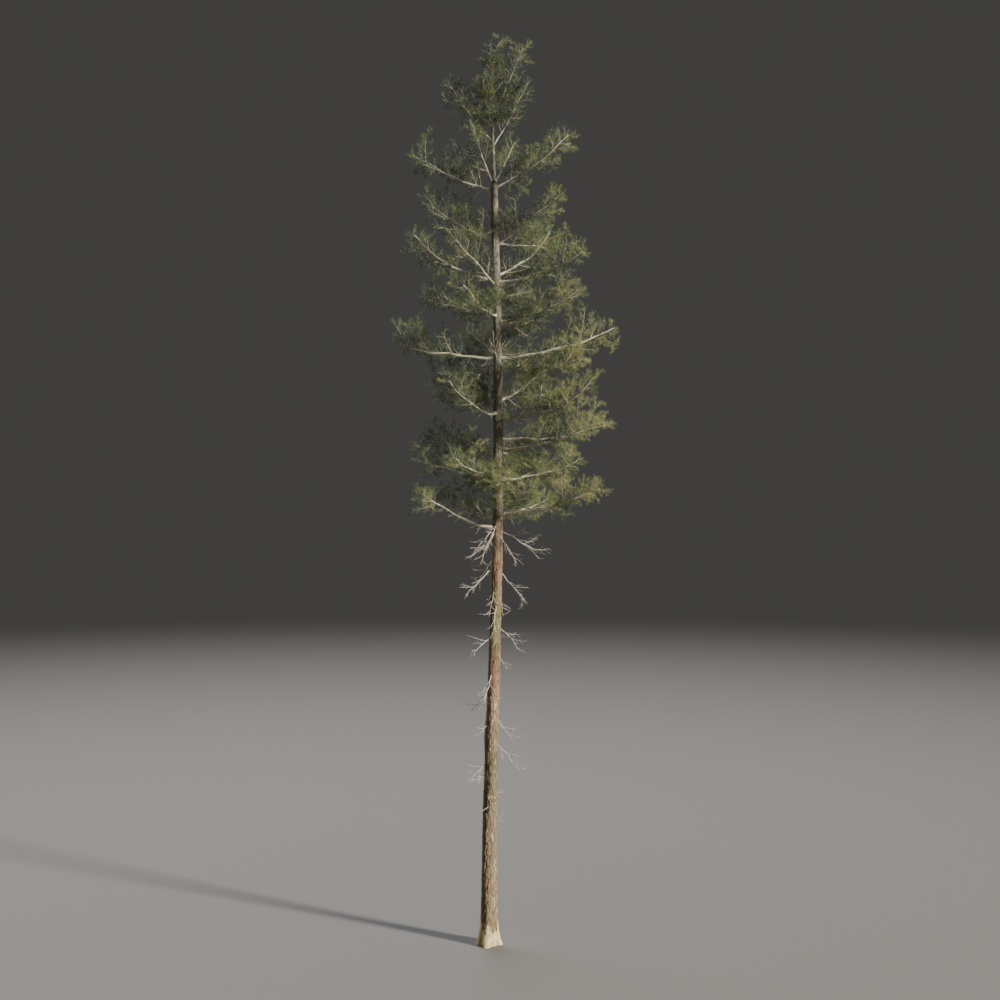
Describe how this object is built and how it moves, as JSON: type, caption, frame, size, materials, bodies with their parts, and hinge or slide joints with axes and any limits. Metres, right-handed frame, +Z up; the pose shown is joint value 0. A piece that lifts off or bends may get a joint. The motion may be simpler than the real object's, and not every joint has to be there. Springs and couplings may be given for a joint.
{
  "type": "pine tree",
  "caption": "Tall forest pine with a bare, slightly leaning trunk, a flared foot, dead lower limbs and a narrow open crown of boughs that turn up at the tips.",
  "frame": {"origin": "middle of the flat cut under the trunk, at ground level", "axes": "+Z straight up the tree; +X to the side where the longest bough is; +Y away from the side the dead stubs face"},
  "size_m": [6.19, 4.9238, 24.96],
  "materials": {
    "bark": "rough plated bark, matte",
    "dead_wood": "weathered bare wood, matte",
    "needles": "waxy needles, satin"
  },
  "bodies": {
    "root": {"bough_a_east": "bark", "bough_a_west": "bark", "bough_b_east": "bark", "bough_c_southeast": "bark", "bough_d_southeast": "bark", "bough_d_southwest": "bark", "bough_e_east": "bark", "bough_e_west": "bark", "bough_g_east": "bark", "bough_g_west": "bark", "dead_limb_high_east": "dead_wood", "dead_limb_high_west": "dead_wood", "dead_limb_low_south": "dead_wood", "dead_limb_low_southeast": "dead_wood", "dead_limb_middle_west": "dead_wood", "foliage_a_east": "needles", "foliage_a_northeast": "needles", "foliage_a_northwest": "needles", "foliage_a_southeast": "needles", "foliage_a_west": "needles", "foliage_b_east": "needles", "foliage_b_north": "needles", "foliage_b_south": "needles", "foliage_b_southwest": "needles", "foliage_b_west": "needles", "foliage_c_east": "needles", "foliage_c_northeast": "needles", "foliage_c_northwest": "needles", "foliage_c_southeast": "needles", "foliage_d_northeast": "needles", "foliage_d_northwest": "needles", "foliage_d_southeast": "needles", "foliage_d_southwest": "needles", "foliage_e_east": "needles", "foliage_e_north": "needles", "foliage_e_northwest": "needles", "foliage_e_southeast": "needles", "foliage_e_west": "needles", "foliage_f_east": "needles", "foliage_f_northeast": "needles", "foliage_f_southwest": "needles", "foliage_f_west": "needles", "foliage_g_east": "needles", "foliage_g_north": "needles", "foliage_g_northeast": "needles", "foliage_g_southwest": "needles", "foliage_g_west": "needles", "foliage_h_east": "needles", "foliage_h_northeast": "needles", "foliage_h_west": "needles", "foliage_i_east": "needles", "foliage_i_northeast": "needles", "foliage_i_southwest": "needles", "foliage_i_west": "needles", "foliage_j_east": "needles", "foliage_j_southeast": "needles", "foliage_j_southwest": "needles", "foliage_j_west": "needles", "foliage_leader": "needles", "trunk": "bark"}
  },
  "joints": []
}
